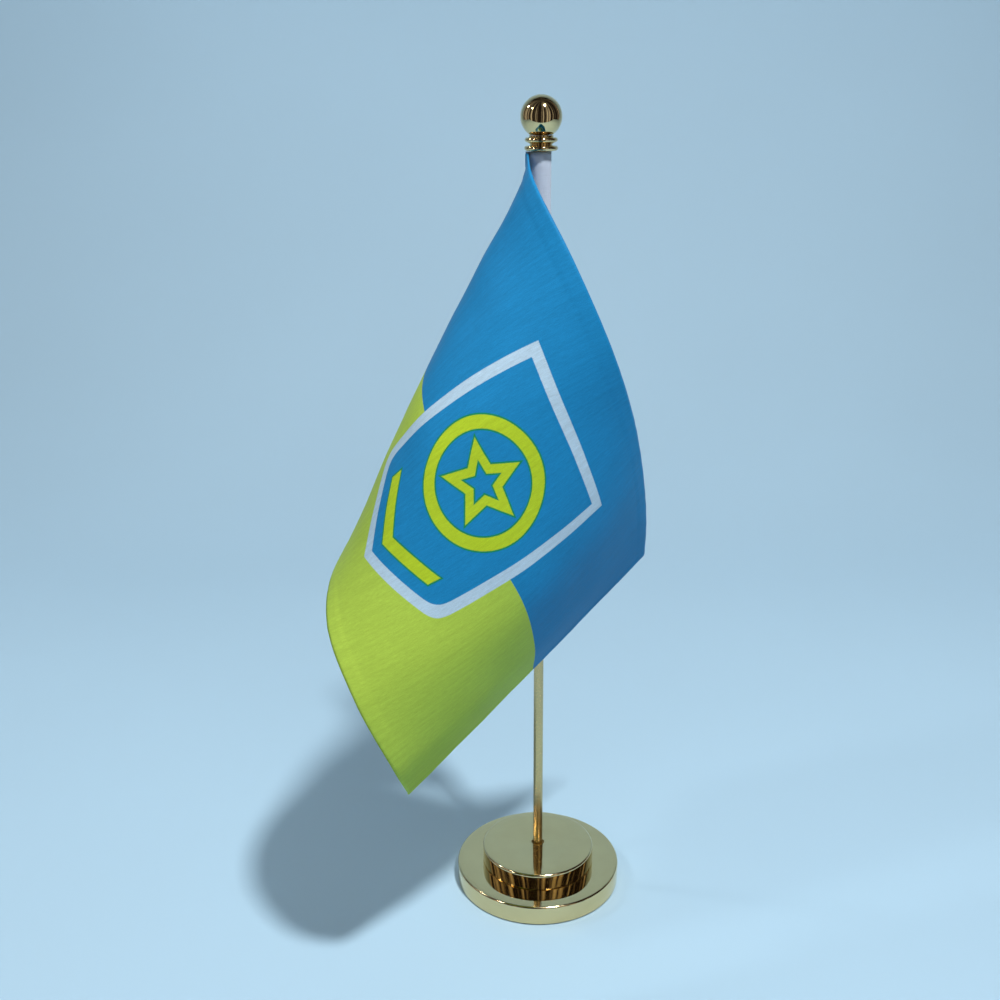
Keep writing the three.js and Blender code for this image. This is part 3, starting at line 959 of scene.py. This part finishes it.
class FLAGSTAND_OT_stage(Operator):
    """Sets the pale floor and backdrop, the lights and the camera"""

    bl_idname = "flagstand.stage"
    bl_label = "Stage"

    def sweep(self, colours):
        """Floor that curves up into a backdrop."""
        front, start, bend, wall, width = -0.5, 0.35, 0.5, 1.9, 3.0
        shape = bmesh.new()
        line = [(front, 0.0), (0.0, 0.0), *[
            (start + bend * math.sin(math.radians(a)), bend - bend * math.cos(math.radians(a)))
            for a in range(0, 91, 5)], (start + bend, wall)]
        points = [shape.verts.new((-width / 2, y, z)) for y, z in line]
        edges = [shape.edges.new(pair) for pair in zip(points, points[1:])]
        new = bmesh.ops.extrude_edge_only(shape, edges=edges)["geom"]
        bmesh.ops.translate(
            shape, verts=[g for g in new if isinstance(g, bmesh.types.BMVert)], vec=(width, 0, 0))
        floor = smoothed("floor", shape)
        paper = Finish("paper")
        here = paper.vector(*paper.place())
        fibre = paper.mottle(here, 900.0, 3.0)
        cloud = paper.mottle(here, 2.2, 2.0)
        tone = paper.spread(cloud, 0.3, 0.7, 0.97, 1.02)
        floor.data.materials.append(paper.surface(
            Base_Color=paper.shade(colours.floor, tone),
            Roughness=paper.spread(fibre, 0.3, 0.7, 0.72, 0.85),
            Normal=paper.bump(fibre, 0.05, 0.1 * MM)))

    def light(self, name, towards, distance, size, power, colour=(1, 1, 1), mirrored=True):
        """A round soft light that shines on the stand from a direction."""
        data = bpy.data.lights.new(name, "AREA")
        data.shape, data.size, data.energy, data.color = "DISK", size, power, colour
        lamp = bpy.data.objects.new(name, data)
        aim = Vector(towards).normalized()
        lamp.location = Vector((0, 0, 0.15)) + aim * distance
        lamp.rotation_euler = aim.to_track_quat("Z", "Y").to_euler()
        lamp.visible_glossy = mirrored
        bpy.context.scene.collection.objects.link(lamp)

    def room(self, colours):
        """A dim room around the stage, with soft upright bands for the metal to mirror."""
        pink, cream = (0.80, 0.62, 0.62), (1.0, 0.98, 0.98)
        walls = Finish("room", "worlds")
        view = walls.node("ShaderNodeTexCoord", {}, {}, "Generated")
        x, y, z = (walls.node("ShaderNodeSeparateXYZ", {}, {0: view}, axis) for axis in "XYZ")
        level = (x * x + y * y + 1e-6) ** 0.5
        bands = walls.mottle(walls.vector(x / level, y / level, 0.0), 4.6, 2.0, 0.6)
        glow = walls.spread(bands, 0.50, 0.60, 0.02, 0.50) * walls.spread(z, 0.35, 0.95, 1.0, 0.3)
        warm = walls.mix(walls.spread(bands, 0.4, 0.6, 0.0, 1.0), pink, cream)
        seen = walls.node("ShaderNodeLightPath", {}, {}, "Is Camera Ray")
        sky = walls.mix(seen, walls.shade(warm, glow), colours.floor)
        room = walls.node("ShaderNodeBackground", {}, {"Color": sky, "Strength": 1.0})
        walls.node("ShaderNodeOutputWorld", {}, {"Surface": room})
        bpy.context.scene.world = walls.block

    def execute(self, context):
        self.sweep(context.scene.flagstand_colours)
        self.room(context.scene.flagstand_colours)
        self.light("key", (0.22, -0.39, 0.89), 1.15, 0.10, 14.0)
        self.light("left_back", (-0.71, 0.15, 0.69), 1.1, 0.09, 1.3)
        self.light("left_front", (-0.64, -0.32, 0.70), 1.1, 0.09, 1.1)
        self.light("fill", (-0.1, -0.9, 0.7), 1.6, 1.4, 3.6, mirrored=False)
        self.light("overhead", (0.1, 0.4, 1.0), 1.6, 1.4, 3.4, mirrored=False)

        data = bpy.data.cameras.new("camera")
        data.sensor_width, data.lens = 36.0, 43.2
        camera = bpy.data.objects.new("camera", data)
        camera.location = CAMERA_PLACE
        tilt = Matrix.Rotation(math.radians(90 - CAMERA_DOWN), 3, "X")
        roll = Matrix.Rotation(math.radians(CAMERA_ROLL), 3, "Z")
        camera.rotation_euler = (tilt @ roll).to_euler()
        context.scene.collection.objects.link(camera)
        context.scene.camera = camera
        context.scene.view_settings.view_transform = "Standard"
        return {"FINISHED"}


# ---------------------------------------------------------------- add-on


class FLAGSTAND_PT_panel(Panel):
    """Sizes, colours and the pieces to build"""

    bl_idname = "FLAGSTAND_PT_panel"
    bl_label = "Desk Flag Stand"
    bl_space_type = "VIEW_3D"
    bl_region_type = "UI"
    bl_category = "Flag Stand"

    def draw(self, context):
        for group in ("flagstand_sizes", "flagstand_cloth", "flagstand_colours"):
            values = getattr(context.scene, group)
            box = self.layout.box()
            for name in values.__annotations__:
                box.prop(values, name)
        for step in STEPS:
            self.layout.operator(step.bl_idname)


GROUPS = {
    "flagstand_sizes": StandSizes,
    "flagstand_cloth": FlagSizes,
    "flagstand_colours": StandColours,
}
STEPS = (
    FLAGSTAND_OT_stage,
    FLAGSTAND_OT_base,
    FLAGSTAND_OT_pole,
    FLAGSTAND_OT_finial,
    FLAGSTAND_OT_fittings,
    FLAGSTAND_OT_sleeve,
    FLAGSTAND_OT_flag,
)


def register():
    for name, group in GROUPS.items():
        bpy.utils.register_class(group)
        setattr(bpy.types.Scene, name, PointerProperty(type=group))
    for step in (*STEPS, FLAGSTAND_PT_panel):
        bpy.utils.register_class(step)


def unregister():
    for step in (FLAGSTAND_PT_panel, *reversed(STEPS)):
        bpy.utils.unregister_class(step)
    for name, group in GROUPS.items():
        delattr(bpy.types.Scene, name)
        bpy.utils.unregister_class(group)


def main():
    """Builds the stand."""
    register()
    for step in STEPS:
        getattr(bpy.ops.flagstand, step.bl_idname.split(".")[1])()


if __name__ == "__main__":
    main()
